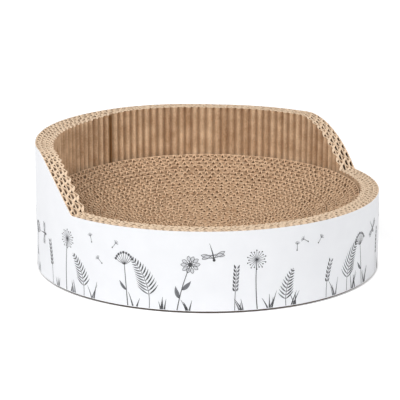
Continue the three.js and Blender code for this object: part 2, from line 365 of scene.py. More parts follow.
def ply_tree():
    """Paper on edge along a path, fluted or plain, its top cut to the rim and spread by the cut."""
    tree, add, given = new_tree("ply_on_edge", {
        "Path": "Geometry", **dict.fromkeys(PLY_NUMBERS, "Float"), "Material": "Material"})
    place = add("GeometryNodeInputPosition")

    # Path in even steps, fluted, whose points keep their flute, their place and the spread of their edge
    curve = add("GeometryNodeMeshToCurve", {"Mesh": given["Path"]})
    even = add("GeometryNodeResampleCurve", {"Curve": curve, "Length": given["Step"]}, mode="LENGTH")
    flute = flute_count(add, given)
    offset, flank = flute_shape(add, given, flute)
    spread = add(MATH, (flank, given["Flank burr"], given["Edge burr"]), "MULTIPLY_ADD")
    for name, value in (("flute", flute), ("spread", spread)):
        even = add(
            "GeometryNodeStoreNamedAttribute", {"Geometry": even, "Name": name, "Value": value},
            data_type="FLOAT", domain="POINT")
    fluted = add("GeometryNodeSetPosition", {"Geometry": even, "Offset": offset})
    lined = add(
        "GeometryNodeStoreNamedAttribute", {"Geometry": fluted, "Name": "line", "Value": place},
        data_type="FLOAT_VECTOR", domain="POINT")
    upright = add("GeometryNodeSetCurveNormal", {"Curve": lined}, mode="Z_UP")

    # Section of three rows swept along the path and closed at both ends
    section = add(
        "GeometryNodeCurvePrimitiveQuadrilateral", {"Width": given["Paper"], "Height": SECTION_HEIGHT},
        mode="RECTANGLE")
    split = add("GeometryNodeSubdivideCurve", {"Curve": section, "Cuts": 1})
    swept = add("GeometryNodeCurveToMesh", {"Curve": upright, "Profile Curve": split, "Fill Caps": True})
    axes = add("ShaderNodeSeparateXYZ", (place,)).outputs
    in_top = add(MATH, (axes["Z"], SECTION_HEIGHT / 4), "GREATER_THAN")
    in_foot = add(MATH, (axes["Z"], -SECTION_HEIGHT / 4), "LESS_THAN")
    cut = cut_level(add, given, place, axes)
    levelled = add(
        "GeometryNodeStoreNamedAttribute", {"Geometry": swept, "Name": "cut_height", "Value": cut},
        data_type="FLOAT", domain="POINT")

    # Stood on the seat, cut at the top, and the cut edge spread
    line = add("GeometryNodeInputNamedAttribute", {"Name": "line"}, data_type="FLOAT_VECTOR")
    half_paper = add(VECTOR_MATH, (place, line), "SUBTRACT")
    edge_spread = add("GeometryNodeInputNamedAttribute", {"Name": "spread"}, data_type="FLOAT")
    burr = add(MATH, (edge_spread, in_top), "MULTIPLY")
    flare = add(VECTOR_MATH, (half_paper, burr), "SCALE")
    spread_place = add(VECTOR_MATH, (place, flare), "ADD")
    wide = add("ShaderNodeSeparateXYZ", (spread_place,)).outputs
    under = add(MATH, (cut, given["Burr depth"]), "SUBTRACT")
    upper = add("GeometryNodeSwitch", (in_top, under, cut), input_type="FLOAT")
    level = add("GeometryNodeSwitch", (in_foot, upper, given["Bottom"]), input_type="FLOAT")
    stood = add("ShaderNodeCombineXYZ", {"X": wide["X"], "Y": wide["Y"], "Z": level})
    placed = add("GeometryNodeSetPosition", {"Geometry": levelled, "Position": stood})

    # Shading smooth along the paper and crisp at its cut edges
    smooth = add("GeometryNodeSetShadeSmooth", {"Geometry": placed}, domain="FACE")
    fold = add("GeometryNodeInputMeshEdgeAngle").outputs["Unsigned Angle"]
    sharp = add("FunctionNodeCompare", (fold, SHARP_FOLD), "GREATER_THAN")
    crisp = add(
        "GeometryNodeSetShadeSmooth", {"Geometry": smooth, "Selection": sharp, "Shade Smooth": False},
        domain="EDGE")
    end_tree(add, crisp, given["Material"])
    return tree


def bend_tree():
    """Flat sheet bent round the wall, its middle at the middle of the front."""
    tree, add, given = new_tree("bend_round_wall", {
        "Sheet": "Geometry", "Radius": "Float", "Lift": "Float", "Material": "Material"})
    axes = add("ShaderNodeSeparateXYZ", (add("GeometryNodeInputPosition"),)).outputs
    angle = add(MATH, (axes["X"], given["Radius"]), "DIVIDE")
    out = add(MATH, (given["Radius"], given["Lift"]), "ADD")
    sine = add(MATH, (angle,), "SINE")
    cosine = add(MATH, (angle,), "COSINE")
    x = add(MATH, (sine, out), "MULTIPLY")
    depth = add(MATH, (cosine, out), "MULTIPLY")
    y = add(MATH, (depth, -1.0), "MULTIPLY")
    bent = add("ShaderNodeCombineXYZ", {"X": x, "Y": y, "Z": axes["Z"]})
    round_wall = add("GeometryNodeSetPosition", {"Geometry": given["Sheet"], "Position": bent})
    end_tree(add, round_wall, given["Material"])
    return tree


def path_mesh(name, points):
    """A line of points on the floor, joined in order, for a tree to build along."""
    mesh = bpy.data.meshes.new(name)
    mesh.from_pydata(points, [(i, i + 1) for i in range(len(points) - 1)], [])
    return mesh


def grow(name, mesh, tree, inputs, thickness=0.0):
    """An object made by a tree from a starting mesh, kept as a plain mesh with no modifier."""
    piece = bpy.data.objects.new(name, mesh)
    bpy.context.scene.collection.objects.link(piece)
    modifier = piece.modifiers.new(tree.name, "NODES")
    modifier.node_group = tree
    sockets = [s for s in tree.interface.items_tree if s.item_type == "SOCKET" and s.in_out == "INPUT"]
    identifiers = {s.name: s.identifier for s in sockets}
    for label, value in inputs.items():
        modifier[identifiers[label]] = value
    if thickness:
        solid = piece.modifiers.new("thickness", "SOLIDIFY")
        solid.thickness = thickness
        solid.offset = 1.0
    evaluated = piece.evaluated_get(bpy.context.evaluated_depsgraph_get())
    grown = bpy.data.meshes.new_from_object(evaluated)
    piece.modifiers.clear()
    piece.data = grown
    return piece


def settle(piece, body, slot, *nodes):
    """Hands a finished piece to the frame: attaches it to its body and hides the CAD nodes it stands for.
    The slot is not used.
    """
    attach(piece, body)
    if nodes:
        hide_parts(*nodes)


# Materials

# Painted shade deep in a board's cells: how dark it grows, and the depths below its cut between which it
# does
WALL_CELL_SHADE = (0.9, 0.8 * MM, 3.5 * MM)
PAD_CELL_SHADE = (0.42, 0.0, 2.2 * MM)
OPEN_FACE = (0.0, 0.0, 1 * MM)

VALLEY_SHADE = 0.55  # painted shade: how dim the open flutes grow in the valleys between them
VALLEY_SHADE_START, VALLEY_SHADE_END = 0.16, 0.42  # shares of the pitch from a crest, between which the painted shade grows
CLOUD_SIZE = 16 * MM  # of the clouds in which fibres gather
FLECK_SIZE = 1.8 * MM  # of bundles of fibres, drawn coarser than they are so that they show
FLECK_SHARE = 0.5  # of the flecks in the mottle, beside the cloud
TONE_SHARE = 0.18  # of each flute's own tone in it
MOTTLE_LEAST, MOTTLE_MOST = 0.565, 1.165  # mottle at the colour of the face and at that of the fibres
UP_LEAST, UP_MOST = 0.25, 0.6  # upward part of the normal where the pale cut edge, partly painted light on upward faces, starts and is full
BROKEN_LEAST, BROKEN_MOST = 0.45, 0.85  # flecks where a cut edge is palest and as brown as the paper


def new_material(name):
    """A material; returns it, what adds a node to it, its shader and its object coordinates."""
    material = bpy.data.materials.new(name)
    material.use_nodes = True
    tree = material.node_tree
    add = partial(add_node, tree)
    return material, add, tree.nodes["Principled BSDF"], add("ShaderNodeTexCoord").outputs["Object"]


def kraft_paper(name, seed, face_colour, cut_colour_and_light, cells, painted_valley_shade=0.0):
    """Uncoated kraft board: cloudy brown with darker fibres, each flute in a tone of its own.

    Where the saw cut it the fibres are broken open, so the edge is paler, partly as painted light on its
    upward faces.
    Open flutes carry painted shade in their valleys, and closed cells painted shade that grows with depth."""
    colours = bpy.context.scene.scratcher_colours
    material, add, shader, place = new_material(name)
    cloud, fleck = [
        add("ShaderNodeTexNoise", {"Vector": place, "W": seed, "Scale": 1 / size, "Detail": detail},
            noise_dimensions="4D")
        for size, detail in ((CLOUD_SIZE, 3.0), (FLECK_SIZE, 2.0))]
    flute = add("ShaderNodeAttribute", attribute_name="flute").outputs["Fac"]
    number = add(MATH, (flute,), "FLOOR")
    tone = add("ShaderNodeTexWhiteNoise", {"W": number}, noise_dimensions="1D")
    mottle = add(MATH, (fleck, FLECK_SHARE, cloud), "MULTIPLY_ADD")
    toned = add(MATH, (tone, TONE_SHARE, mottle), "MULTIPLY_ADD")
    amount = add(MAP_RANGE, {"Value": toned, "From Min": MOTTLE_LEAST, "From Max": MOTTLE_MOST})
    paper = add("ShaderNodeMix", (amount, face_colour, colours.kraft_dark), data_type="RGBA")

    # Painted shade in the valleys of open flutes
    part = add(MATH, (flute,), "FRACT")
    from_crest = add(MATH, (part, 0.5), "SUBTRACT")
    aside = add(MATH, (from_crest,), "ABSOLUTE")
    valley_shade_mask = add(
        MAP_RANGE,
        {"Value": aside, "From Min": VALLEY_SHADE_START, "From Max": VALLEY_SHADE_END, "To Max": painted_valley_shade},
        interpolation_type="SMOOTHSTEP")
    face = add("ShaderNodeMix", (valley_shade_mask, paper, colours.kraft_shade), data_type="RGBA")

    # Painted shade deep in closed cells
    deep_shade_colour, cell_shade, shade_start, shade_end = cells
    cut_height = add("ShaderNodeAttribute", attribute_name="cut_height").outputs["Fac"]
    height = add("ShaderNodeSeparateXYZ", (place,)).outputs["Z"]
    depth = add(MATH, (cut_height, height), "SUBTRACT")
    dim = add(
        MAP_RANGE, {"Value": depth, "From Min": shade_start, "From Max": shade_end, "To Max": cell_shade})
    cell_shaded = add("ShaderNodeMix", (dim, face, deep_shade_colour), data_type="RGBA")

    # Cut edge: paler for its broken fibres, and partly painted light on the upward faces
    normal = add("ShaderNodeNewGeometry").outputs["True Normal"]
    up = add("ShaderNodeSeparateXYZ", (normal,)).outputs["Z"]
    edge = add(MAP_RANGE, {"Value": up, "From Min": UP_LEAST, "From Max": UP_MOST})
    broken = add(MAP_RANGE, {"Value": fleck, "From Min": BROKEN_LEAST, "From Max": BROKEN_MOST})
    cut = add("ShaderNodeMix", (broken, cut_colour_and_light, colours.kraft), data_type="RGBA")
    finish = add("ShaderNodeMix", (edge, cell_shaded, cut), data_type="RGBA")
    bump = add("ShaderNodeBump", {"Height": fleck, "Strength": 0.3, "Distance": 0.15 * MM})
    fill(shader, {"Base Color": finish, "Normal": bump, "Roughness": 0.88, "IOR": 1.45})
    return material


def mottled(name, ground, mottle, size, detail, least, most, share, surface):
    """A material in one colour, mottled with a share of another where a noise lies between two levels."""
    material, add, shader, place = new_material(name)
    noise = add("ShaderNodeTexNoise", {"Vector": place, "Scale": 1 / size, "Detail": detail})
    amount = add(MAP_RANGE, {"Value": noise, "From Min": least, "From Max": most, "To Max": share})
    tone = add("ShaderNodeMix", (amount, ground, mottle), data_type="RGBA")
    fill(shader, {"Base Color": tone, **surface})
    return material


def coated_paper(colours):
    """Coated white printing paper: even cool white with the faintest mottle and a soft sheen."""
    return mottled(
        "coated_white_paper", colours.wrap_white, colours.wrap_cloud, size=22 * MM, detail=4.0,
        least=0.3, most=0.7, share=0.35, surface={"Roughness": 0.5, "IOR": 1.5})


def solid_board(colours):
    """Brown solid board: dense recycled fibre with darker flecks; its brown is darker in part as painted
    shade along the wrap's foot.
    """
    return mottled(
        "brown_solid_board", colours.base_brown_and_shade, colours.base_fleck, size=2.5 * MM, detail=4.0,
        least=0.35, most=0.7, share=1.0, surface={"Roughness": 0.9})


def printing_ink(colours, ink):
    """Offset printing ink: matt film over the white paper, with pale specks drawn coarse enough to show."""
    return mottled(
        f"{ink}_printing_ink", getattr(colours, f"ink_{ink}"), colours.ink_speck, size=0.8 * MM,
        detail=2.0, least=0.4, most=0.75, share=0.2, surface={"Roughness": 0.55})


# Paths of the plies, as points on the floor

RING_STEPS = 720  # points round the wall
ROUND_TURNS = 8  # outer turns of the pad that are pressed round
TURN_STEPS = 120  # points in one turn of the pad's path


def ring_path(radius, start, sweep, steps=RING_STEPS):
    """Points round an arc, anticlockwise from start, with angles from +X."""
    angles = [start + sweep * i / steps for i in range(steps + 1)]
    return [(radius * math.cos(a), radius * math.sin(a), 0) for a in angles]


def pitches_in(turns):
    """Pitches wound in after some turns: the outer turns are pressed round and step in at their ends."""
    whole = math.floor(turns)
    step_share = min(1, (whole + 1) / ROUND_TURNS)
    return whole + max(0, (turns - whole - 1 + step_share) / step_share)


def winding_path(radius, pitch, end, first_turn, last_turn):
    """Points of a strip wound inwards, anticlockwise, between two numbers of turns from the outer end."""
    points = []
    steps = math.ceil((last_turn - first_turn) * TURN_STEPS)
    for i in range(steps + 1):
        turns = first_turn + (last_turn - first_turn) * i / steps
        r = radius - pitch * pitches_in(turns)
        angle = end + FULL_TURN * turns
        points.append((r * math.cos(angle), r * math.sin(angle), 0))
    return points


# Print: a meadow drawn flat in millimetres, x along the wrap from the middle of the front and z up

STEM = 0.55  # half widths of the drawn lines
LINE = 0.36
HAIR = 0.24
LEAST_LINE = 0.04
DOT_STEPS = 8
FOOT = SEAT / MM + 0.8  # where the plants stand, just above the wrap's lower edge


class InkSheet:
    """Flat bands, leaves and dots in one ink."""

    def __init__(self):
        self.points = []
        self.faces = []

    def blade(self, line, half_width):
        """A band along a line of points; its half width is a function of the share of its length."""
        first = len(self.points)
        last = len(line) - 1
        for i, (x, z) in enumerate(line):
            along = heading_vector(line, i)
            width = max(half_width(i / last), LEAST_LINE)
            for side in (1, 0, -1):
                shift = side * width
                self.points.append(((x - shift * along.y) * MM, 0.0, (z + shift * along.x) * MM))
        for i in range(last):
            for column in (0, 1):
                a = first + 3 * i + column
                self.faces.append((a, a + 1, a + 4, a + 3))

    def outline(self, line, half_width, pen):
        """Both edges of a band, drawn as lines."""
        last = len(line) - 1
        for side in (1, -1):
            edge = []
            for i, (x, z) in enumerate(line):
                along = heading_vector(line, i)
                width = side * half_width(i / last)
                edge.append((x - width * along.y, z + width * along.x))
            self.blade(edge, even(pen))

    def dot(self, centre, radius):
        """A round dot."""
        x, z = centre
        line = [(x, z + radius * math.cos(math.pi * i / DOT_STEPS)) for i in range(DOT_STEPS + 1)]
        self.blade(line, lambda share: radius * math.sin(math.pi * share))


def heading_vector(line, i):
    """Direction of a line at one of its points."""
    ahead = line[min(i + 1, len(line) - 1)]
    behind = line[max(i - 1, 0)]
    return Vector((ahead[0] - behind[0], ahead[1] - behind[1])).normalized()


def heading_at(line, i):
    """Heading of a line at one of its points, in degrees from +X."""
    along = heading_vector(line, i)
    return math.degrees(math.atan2(along.y, along.x))


def stroke(start, heading, length, curl=0.0, steps=12):
    """Points of a line that sets out at a heading, in degrees from +X, and turns by curl in all."""
    points = [start]
    for i in range(steps):
        turn = math.radians(heading + curl * (i + 0.5) / steps)
        x, z = points[-1]
        points.append((x + math.cos(turn) * length / steps, z + math.sin(turn) * length / steps))
    return points


def even(width):
    """Half width of a line that stays the same."""
    return lambda share: width


def tapered(width, lost=0.9):
    """Half width of a line that loses a share of it towards its end."""
    return lambda share: width * (1 - lost * share)


def leafy(width, fullest=0.4):
    """Half width of a leaf, pointed at both ends and fullest at a share of its length."""
    power = math.log(0.5) / math.log(fullest)
    return lambda share: width * math.sin(math.pi * share ** power)


def draw_leaf(inks, start, heading, length, width, curl):
    line = stroke(start, heading, length, curl, steps=10)
    inks["mid"].blade(line, leafy(width))
    inks["dark"].blade(line[:8], tapered(LINE))


def draw_stem(inks, x, heading, height, curl, width=STEM, steps=16):
    line = stroke((x, FOOT), heading, height, curl, steps)
    inks["dark"].blade(line, tapered(width, lost=0.4))
    return line


def draw_grass(inks, x, height, chance):
    for _ in range(chance.randint(3, 5)):
        heading = chance.uniform(66, 114)
        ink = chance.choice(("dark", "dark", "mid"))
        curl = chance.uniform(0.3, 0.8) * (heading - 90)
        foot = (x + chance.uniform(-4, 4), FOOT)
        inks[ink].blade(stroke(foot, heading, height * chance.uniform(0.5, 1.0), curl), tapered(0.95))


def draw_daisy(inks, x, height, chance):
    stem = draw_stem(inks, x, chance.uniform(80, 100), height, chance.uniform(-18, 18))
    for i, side in ((4, 1), (7, -1)):
        draw_leaf(inks, stem[i], heading_at(stem, i) + side * 42, length=15, width=2.4, curl=-side * 25)
    centre = stem[-1]
    heart = 2.6
    petal = leafy(1.9, fullest=0.62)
    petals = chance.randint(9, 11)
    for i in range(petals):
        heading = 360 * i / petals + chance.uniform(-5, 5)
        root = stroke(centre, heading, heart, steps=1)[-1]
        line = stroke(root, heading, chance.uniform(7.2, 8.4), chance.uniform(-12, 12), steps=10)
        inks["pale"].blade(line, petal)
        inks["dark"].outline(line, petal, HAIR)
        inks["mid"].blade(line[:5], tapered(HAIR))
    inks["dark"].dot(centre, heart)


def draw_umbel(inks, x, height, chance):
    stem = draw_stem(inks, x, chance.uniform(82, 98), height, chance.uniform(-14, 14))
    draw_leaf(inks, stem[6], heading_at(stem, 6) + 50, length=14, width=1.8, curl=-30)
    top = heading_at(stem, len(stem) - 1)
    for i in range(-4, 5):
        ray = stroke(stem[-1], top + 17 * i, length=14 - 0.4 * abs(i), curl=-5 * i, steps=8)
        inks["dark"].blade(ray, even(HAIR))
        inks["mid" if i % 2 else "dark"].dot(ray[-1], radius=1.5)


def draw_fern(inks, x, height, chance):
    side = chance.choice((-1, 1))
    steps = round(height / 4)
    frond = draw_stem(inks, x, 90 + side * 6, height, -side * chance.uniform(35, 60), LINE, steps)
    for i in range(steps // 4, steps):
        length = 0.26 * height * (1 - (i / steps) ** 1.6) + 2
        for flank in (-1, 1):
            line = stroke(frond[i], heading_at(frond, i) + flank * 62, length, curl=-flank * 26, steps=6)
            inks["mid" if flank > 0 else "dark"].blade(line, leafy(0.8))


def draw_ear(inks, x, height, chance):
    steps = round(height / 4.4)
    stem = draw_stem(inks, x, chance.uniform(82, 98), height, chance.uniform(-30, 30), LINE, steps)
    for i in range(steps // 2, steps + 1):
        for flank in (-1, 1):
            root = stroke(stem[i], heading_at(stem, i) + flank * 60, length=1.0, steps=1)[-1]
            grain = stroke(root, heading_at(stem, i) + flank * 36, length=5.2, curl=-flank * 20, steps=6)
            inks["dark" if flank > 0 else "mid"].blade(grain, leafy(1.0))


def draw_clock(inks, x, height, chance):
    stem = draw_stem(inks, x, chance.uniform(84, 96), height, chance.uniform(-12, 12))
    rays = 20
    for i in range(rays):
        ray = stroke(stem[-1], 360 * i / rays, length=9 + 1.8 * (i % 2), steps=4)
        inks["mid"].blade(ray, even(HAIR))
        inks["dark"].dot(ray[-1], radius=0.75)
    inks["dark"].dot(stem[-1], radius=1.4)


def draw_seed(inks, x, z, chance):
    heading = chance.uniform(25, 155)
    hair = stroke((x, z), heading, length=6.5, curl=10, steps=5)
    inks["dark"].blade(hair, even(HAIR))
    inks["dark"].dot((x, z), radius=0.8)
    for i in range(-2, 3):
        inks["mid"].blade(stroke(hair[-1], heading + 28 * i, length=4, steps=3), even(HAIR))


def draw_dragonfly(inks, x, z, chance):
    heading = chance.uniform(-20, 200)
    body = stroke((x, z), heading, length=20, curl=12, steps=10)
    inks["dark"].blade(body, tapered(0.95))
    inks["dark"].dot((x, z), radius=1.6)
    shape = leafy(2.0, fullest=0.62)
    for i, spread, length in ((1, 62, 14.5), (1, -62, 14.5), (3, 96, 13), (3, -96, 13)):
        wing = stroke(body[i], heading + spread, length, curl=spread * 0.12, steps=10)
        inks["pale"].blade(wing, shape)
        inks["dark"].outline(wing, shape, HAIR)


INKS = ("pale", "mid", "dark")
PLANTS = (draw_daisy, draw_fern, draw_umbel, draw_ear, draw_clock)
PRINT_SEED = 41
CLUMPS = 10
CLUMP_PLACES = ((-33, 38, 52), (0, 56, 66), (30, 40, 56))  # aside, and the least and greatest height
LAP_MARGIN = 34  # free of plants on each side of the middle of the back, where the wrap's ends overlap
INSECT_PLACE = 0.57  # shares of the way from one clump to the next
SEED_PLACES = (0.36, 0.48, 0.6)


def draw_meadow():
    """Clumps of plants on the wrap's foot all round, clear of its lap, with seeds and insects between."""
    inks = {ink: InkSheet() for ink in INKS}
    chance = random.Random(PRINT_SEED)
    half = math.pi * WRAP_INNER / MM - LAP_MARGIN
    spacing = 2 * half / CLUMPS
    for clump in range(CLUMPS):
        x = spacing * (clump + 0.5) - half
        plants = chance.sample(PLANTS, len(CLUMP_PLACES))
        for plant, (aside, least, greatest) in zip(plants, CLUMP_PLACES):
            plant(inks, x + aside + chance.uniform(-4, 4), chance.uniform(least, greatest), chance)
            draw_grass(inks, x + aside + chance.uniform(8, 14), chance.uniform(14, 26), chance)
        if clump % 2:
            draw_dragonfly(inks, x + INSECT_PLACE * spacing, chance.uniform(54, 70), chance)
        else:
            for share in SEED_PLACES:
                draw_seed(inks, x + share * spacing, chance.uniform(44, 78), chance)
    return inks


# Pieces

BASE_SEGMENTS = 240
BASE_BEVEL = 0.3 * MM
LINER_STEP = 3 * MM  # between the points along a liner of the wall
WALL_RAGGED = 0.5 * MM  # by which the wall's cut edges rise and fall from point to point
WALL_PINCH = 2.5  # of the closed flutes
INNER_PINCH = 0.65  # of the open ones inside, with narrow crests and broad valleys
WALL_CRUSH = 0.12  # greatest share of its height that a flute loses
WALL_SWAY = 0.5  # range, in flutes, of their stray from an even pitch
WRAP_STEP = 2 * MM
WRAP_CLIMB = math.radians(2.5)  # before the lap, where the wrap's upper end starts to climb
WRAP_MARGIN = math.radians(0.3)  # before the lap, where it is up
LAP_STEPS = 12
INK_LIFT = 0.05 * MM  # of the first ink above the wrap
INK_RISE = 0.04 * MM  # of each further ink
INK_FILM = 0.03 * MM
PAD_UNEVEN = 1.2 * MM  # by which the pad's cut edges rise and fall along a strip
PAD_RAGGED = 0.6 * MM  # by which they rise and fall from point to point
PAD_BURR = 0.3  # share by which a cut edge of the pad is thicker than its paper
PAD_FLANK_BURR = 1.8  # share by which it is thicker still across a flute
PAD_LINER_STEP = 2.5 * MM
LINER_RECESS = 0.8 * MM  # by which the pad's liners end below its flutes
PAD_PINCH = 3.5
PAD_CRUSH = 0.35
PAD_SWAY = 0.7
PAD_TORN = 4 * MM  # depth of the deepest tears


def ply_group():
    """The one ply tree, made the first time that it is asked for."""
    return bpy.data.node_groups.get("ply_on_edge") or ply_tree()


def ply_inputs(sizes):
    """Inputs of the ply tree for plain paper with the wall's rim; a piece changes those that differ."""
    return {"Bottom": SEAT, "Paper": sizes.paper, "Low rim": sizes.low_rim, "Low dip": sizes.low_dip,
            "High rim": sizes.high_rim, "Rim rise": sizes.rim_rise,
            "Rim slope": sizes.rim_fall / (WRAP_INNER - WALL_INNER),
            "Cut start": sizes.cut_start, "Cut end": sizes.cut_end, "Cut ease": sizes.cut_ease,
            "Flute pitch": sizes.flute_pitch, "Flute wave": 0.0, "Flute pinch": 2.0, "Crush": 0.0,
            "Sway": 0.0, "Hollow": 0.0, "Hollow radius": 1.0, "Burr depth": sizes.burr_depth,
            "Edge burr": sizes.edge_burr, "Flank burr": 0.0, "Uneven": 0.0, "Ragged": WALL_RAGGED,
            "Torn": 0.0, "Seed": 0.0}


class SCRATCHER_OT_base_board(bpy.types.Operator):
    """Round solid board under the wall and the pad"""
    bl_idname = "scratcher.base_board"
    bl_label = "Base board"

    def execute(self, context):
        radius = reach("base_board")[1]
        shape = bmesh.new()
        bmesh.ops.create_cone(
            shape, cap_ends=True, segments=BASE_SEGMENTS, radius1=radius, radius2=radius, depth=BASE_TOP,
            matrix=Matrix.Translation((0, 0, BASE_TOP / 2)))
        rims = [e for e in shape.edges if any(len(f.verts) > 4 for f in e.link_faces)]
        bmesh.ops.bevel(shape, geom=rims, offset=BASE_BEVEL, segments=2, affect="EDGES")
        mesh = bpy.data.meshes.new("base_board_piece")
        shape.to_mesh(mesh)
        shape.free()
        mesh.materials.append(solid_board(context.scene.scratcher_colours))
        piece = bpy.data.objects.new("base_board_piece", mesh)
        context.scene.collection.objects.link(piece)
        settle(piece, "bed", "base_board", "base_board")
        return {"FINISHED"}


class SCRATCHER_OT_wall(bpy.types.Operator):
    """Four liners and four fluted plies of the wall's single-face board"""
    bl_idname = "scratcher.wall"
    bl_label = "Wall plies"

    def execute(self, context):
        sizes = context.scene.scratcher_sizes
        colours = context.scene.scratcher_colours
        # Painted shade deep in the wall's closed cells
        cells = (colours.deep_cell_shade, *WALL_CELL_SHADE)
        board = kraft_paper("kraft_board", 1.0, colours.kraft_cells, colours.rim_edge_and_light, cells)
        # Painted shade deep behind the innermost seam, browner than in the other cells
        seam = (colours.seam_deep_shade, *WALL_CELL_SHADE)
        inner_liner = kraft_paper("kraft_inner_liner", 1.0, colours.kraft_cells, colours.rim_edge_and_light, seam)
        open_face = (colours.kraft_shade, *OPEN_FACE)
        # Painted shade in the open flutes' valleys
        open_flutes = kraft_paper(
            "kraft_open_flutes", 2.0, colours.kraft_inside, colours.rim_edge_and_light, open_face, VALLEY_SHADE)
        for layer in range(1, WALL_LAYERS + 1):
            innermost = layer == WALL_LAYERS
            joint = sizes.inner_joint + sizes.joint_stagger * (WALL_LAYERS - layer)
            outer = reach(f"wall_liner_{layer}")[1]
            middle = outer - sizes.paper / 2
            self.ply(sizes, f"wall_liner_{layer}", middle, joint, sizes.joint_gap, "kraft_liner", {
                "Step": LINER_STEP, "Material": inner_liner if innermost else board})
            room = outer - sizes.paper - reach(f"wall_flutes_{layer}")[0]
            middle = outer - sizes.paper - room / 2
            opening = sizes.inner_seam if innermost else sizes.joint_gap
            self.ply(sizes, f"wall_flutes_{layer}", middle, joint, opening, "kraft_flutes", {
                "Step": sizes.flute_pitch / sizes.flute_steps, "Flute wave": (room - sizes.paper) / 2,
                "Flute pinch": INNER_PINCH if innermost else WALL_PINCH, "Crush": WALL_CRUSH,
                "Sway": WALL_SWAY, "Flank burr": sizes.flank_burr,
                "Material": open_flutes if innermost else board})
        return {"FINISHED"}

    def ply(self, sizes, node, radius, joint, opening, slot, inputs):
        """One ply of the wall, open at its joint, with whole flutes and a seed from its radius."""
        gap = opening / radius
        flutes = round(FULL_TURN * radius / sizes.flute_pitch)
        pitch = (FULL_TURN - gap) * radius / flutes
        path = path_mesh(node, ring_path(radius, joint + gap / 2, FULL_TURN - gap))
        piece = grow(f"{node}_piece", path, ply_group(), {
            **ply_inputs(sizes), "Flute pitch": pitch, "Seed": 10 + radius / MM, **inputs})
        settle(piece, "bed", slot, node)


class SCRATCHER_OT_wrap(bpy.types.Operator):
    """White paper wrap round the wall, its ends glued over each other at the back"""
    bl_idname = "scratcher.wrap"
    bl_label = "Paper wrap"

    def execute(self, context):
        sizes = context.scene.scratcher_sizes
        middle = WRAP_INNER + sizes.wrap_paper / 2
        raised = reach("outer_wrap")[1] - sizes.wrap_paper / 2
        lap = sizes.wrap_lap / middle
        start = math.pi / 2 - lap / 2
        path = ring_path(middle, start, FULL_TURN - WRAP_CLIMB)
        path += ring_path(raised, start + FULL_TURN - WRAP_MARGIN, lap + WRAP_MARGIN, LAP_STEPS)
        piece = grow("outer_wrap_piece", path_mesh("outer_wrap", path), ply_group(), {
            **ply_inputs(sizes), "Step": WRAP_STEP, "Paper": sizes.wrap_paper, "Edge burr": 0.0,
            "Ragged": 0.0, "Material": coated_paper(context.scene.scratcher_colours)})
        settle(piece, "bed", "wrap_paper", "outer_wrap")
        return {"FINISHED"}


class SCRATCHER_OT_print(bpy.types.Operator):
    """Meadow printed round the wrap, one sheet for each ink"""
    bl_idname = "scratcher.print"
    bl_label = "Print"

    def execute(self, context):
        colours = context.scene.scratcher_colours
        radius = WRAP_INNER + context.scene.scratcher_sizes.wrap_paper
        tree = bend_tree()
        drawn = draw_meadow()
        for order, ink in enumerate(INKS):
            mesh = bpy.data.meshes.new(f"print_{ink}")
            mesh.from_pydata(drawn[ink].points, [], drawn[ink].faces)
            inputs = {"Radius": radius, "Lift": INK_LIFT + INK_RISE * order,
                      "Material": printing_ink(colours, ink)}
            piece = grow(f"print_{ink}", mesh, tree, inputs, thickness=INK_FILM)
            settle(piece, "bed", "wrap_paper")
        return {"FINISHED"}


class SCRATCHER_OT_pad(bpy.types.Operator):
    """Scratch pad: liner and fluted ply of each strip, wound on edge, and of the turns in the core"""
    bl_idname = "scratcher.pad"
    bl_label = "Scratch pad"

    def execute(self, context):
        sizes = context.scene.scratcher_sizes
        colours = context.scene.scratcher_colours
        # Painted shade deep in the pad's cells
        cells = (colours.kraft_shade, *PAD_CELL_SHADE)
        paper = kraft_paper("kraft_pad_board", 3.0, colours.kraft, colours.pad_edge_and_light, cells)
        last = math.floor((PAD_RADIUS - sizes.pad_eye) / sizes.pad_pitch)
        ends = [*sizes.strip_joints, last]
        first = 0.0
        for number, end in enumerate(ends, 1):
            node = f"pad_strip_{number}" if number < len(ends) else "pad_core"
            radius = PAD_RADIUS - sizes.pad_pitch * pitches_in(end)
            gap = sizes.joint_gap / (FULL_TURN * radius)
            self.strip(sizes, node, number, first, end - gap, paper)
            first = end
        return {"FINISHED"}

    def strip(self, sizes, node, number, first, last, paper):
        """Both plies of one strip, between two numbers of turns, with seeds from its number."""
        top = PAD_TOP + (PAD_UNEVEN + PAD_RAGGED) / 2
        level = {**ply_inputs(sizes), "Low rim": top, "High rim": top, "Low dip": 0.0, "Rim rise": 0.0,
                 "Rim slope": 0.0, "Hollow": sizes.pad_hollow, "Hollow radius": PAD_RADIUS,
                 "Uneven": PAD_UNEVEN, "Ragged": PAD_RAGGED, "Edge burr": PAD_BURR, "Material": paper}
        room = sizes.pad_pitch - sizes.paper
        wave = (room - sizes.paper) / 2
        plies = {
            "liner": (sizes.paper / 2, {
                "Step": PAD_LINER_STEP, "High rim": top - LINER_RECESS, "Low rim": top - LINER_RECESS,
                "Seed": 5.0 + 7 * number}),
            "flutes": (sizes.paper + room / 2, {
                "Step": sizes.flute_pitch / sizes.flute_steps, "Flute wave": wave, "Flute pinch": PAD_PINCH,
                "Flank burr": PAD_FLANK_BURR, "Torn": PAD_TORN, "Crush": PAD_CRUSH, "Sway": PAD_SWAY,
                "Seed": 6.0 + 7 * number}),
        }
        for ply, (inset, inputs) in plies.items():
            path = winding_path(PAD_RADIUS - inset, sizes.pad_pitch, sizes.pad_end, first, last)
            name = f"{node}_{ply}"
            piece = grow(name, path_mesh(name, path), ply_group(), {**level, **inputs})
            settle(piece, "scratch_pad", "pad_board", node)


# Stage

